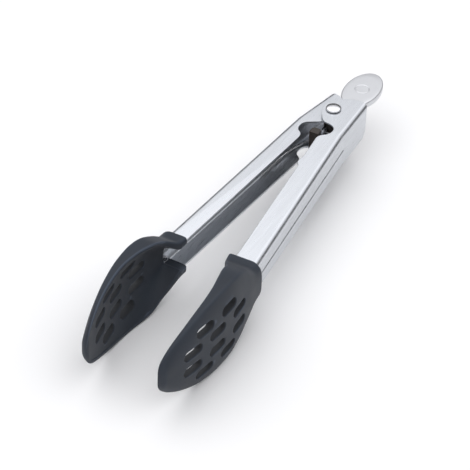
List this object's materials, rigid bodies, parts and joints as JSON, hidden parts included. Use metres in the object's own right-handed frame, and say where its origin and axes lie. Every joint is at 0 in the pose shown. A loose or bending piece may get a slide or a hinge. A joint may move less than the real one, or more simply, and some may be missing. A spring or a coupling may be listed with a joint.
{
  "type": "spring loaded kitchen tongs",
  "caption": "Kitchen tongs with folded steel arms on a rivet, a torsion spring, a sliding pull-tab lock and soft slotted scoops.",
  "frame": {"origin": "middle of the open tongs' outer box; the hinge rivet's axis is at x 0, y 0.07445", "axes": "+Y from the scoops towards the pull tab, +Z along the hinge rivet, +X across the arms towards arm_right"},
  "size_m": [0.0546, 0.24, 0.041],
  "materials": {
    "arm_steel": "brushed along the arm",
    "rivet_steel": "bright",
    "spring_wire": "drawn wire",
    "tab_metal": "satin, blasted",
    "lock_nylon": "moulded, matte",
    "core_nylon": "moulded, matte",
    "scoop_silicone": "matte, soft"
  },
  "bodies": {
    "hinge": {"hinge_rivet": "rivet_steel", "hinge_washer_top": "rivet_steel", "hinge_washer_bottom": "rivet_steel", "hinge_bush": "lock_nylon", "torsion_spring": "spring_wire"},
    "right_arm": {"arm_right": "arm_steel", "head_core_right": "core_nylon", "head_scoop_right": "scoop_silicone", "head_rivet_right_top": "rivet_steel", "head_rivet_right_bottom": "rivet_steel"},
    "left_arm": {"arm_left": "arm_steel", "head_core_left": "core_nylon", "head_scoop_left": "scoop_silicone", "head_rivet_left_top": "rivet_steel", "head_rivet_left_bottom": "rivet_steel"},
    "lock": {"lock_bar": "rivet_steel", "lock_shoe": "lock_nylon", "lock_pin": "rivet_steel", "pull_tab": "tab_metal"}
  },
  "joints": [
    {"name": "right_arm_pivot", "type": "hinge", "parent": "hinge", "child": "right_arm", "pos_m": [0, 0.07445, 0], "axis": [0, 0, -1], "range_deg": [0, 4.8], "stiffness_Nm_per_rad": 0.5, "springref_deg": -34.38, "deforming": ["torsion_spring"]},
    {"name": "left_arm_pivot", "type": "hinge", "parent": "hinge", "child": "left_arm", "pos_m": [0, 0.07445, 0], "axis": [0, 0, 1], "range_deg": [0, 4.8], "stiffness_Nm_per_rad": 0.5, "springref_deg": -34.38, "deforming": ["torsion_spring"]},
    {"name": "lock_slide", "type": "slide", "parent": "hinge", "child": "lock", "axis": [0, 1, 0], "range_m": [0, 0.005]}
  ],
  "couplings": [
    {"joint": "left_arm_pivot", "follows": "right_arm_pivot", "ratio": 1}
  ]
}
